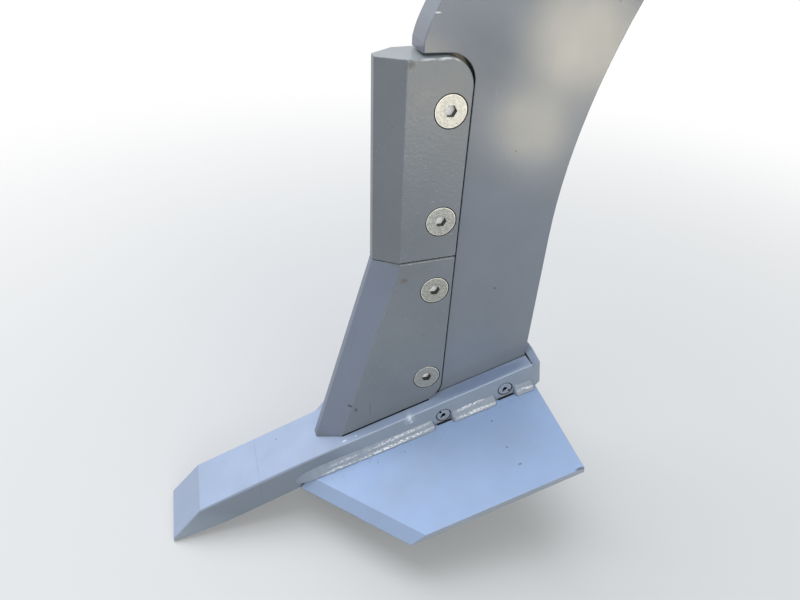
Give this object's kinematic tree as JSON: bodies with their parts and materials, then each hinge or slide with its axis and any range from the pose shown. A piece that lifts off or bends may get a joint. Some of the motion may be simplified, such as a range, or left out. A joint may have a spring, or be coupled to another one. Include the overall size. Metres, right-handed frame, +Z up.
{
  "type": "subsoiler leg",
  "caption": "Swept flat subsoiler leg with bolted nose shins, a pinned slotted foot with chisel point and welded wings, and a bored head that a frame bracket holds.",
  "frame": {"origin": "centre of the pivot bore in the shank's head, on the leg's middle plane", "axes": "+X forward, the way the point leads; +Y left, along the pivot bore; +Z up"},
  "size_m": [0.5713, 0.297, 0.8695],
  "materials": {
    "shank_paint": "satin grey paint",
    "shin_paint": "satin dark grey paint, knocked and smudged",
    "foot_paint": "light silver grey paint",
    "weld_paint": "rough weld bead under silver grey paint",
    "pin_steel": "painted over spring steel",
    "screw_steel": "bright zinc plate",
    "nut_steel": "bright zinc plate"
  },
  "bodies": {
    "root": {"shank": "shank_paint", "upper_shin": "shin_paint", "lower_shin": "shin_paint", "foot": "foot_paint", "point": "foot_paint", "heel": "foot_paint", "wing_left": "foot_paint", "wing_right": "foot_paint", "wing_weld_left": "weld_paint", "wing_weld_right": "weld_paint", "front_pin_outer": "pin_steel", "front_pin_inner": "pin_steel", "rear_pin_outer": "pin_steel", "rear_pin_inner": "pin_steel", "upper_shin_screw_high": "screw_steel", "upper_shin_screw_low": "screw_steel", "lower_shin_screw_high": "screw_steel", "lower_shin_screw_low": "screw_steel", "upper_shin_screw_high_nut": "nut_steel", "upper_shin_screw_low_nut": "nut_steel", "lower_shin_screw_high_nut": "nut_steel", "lower_shin_screw_low_nut": "nut_steel"}
  },
  "joints": []
}
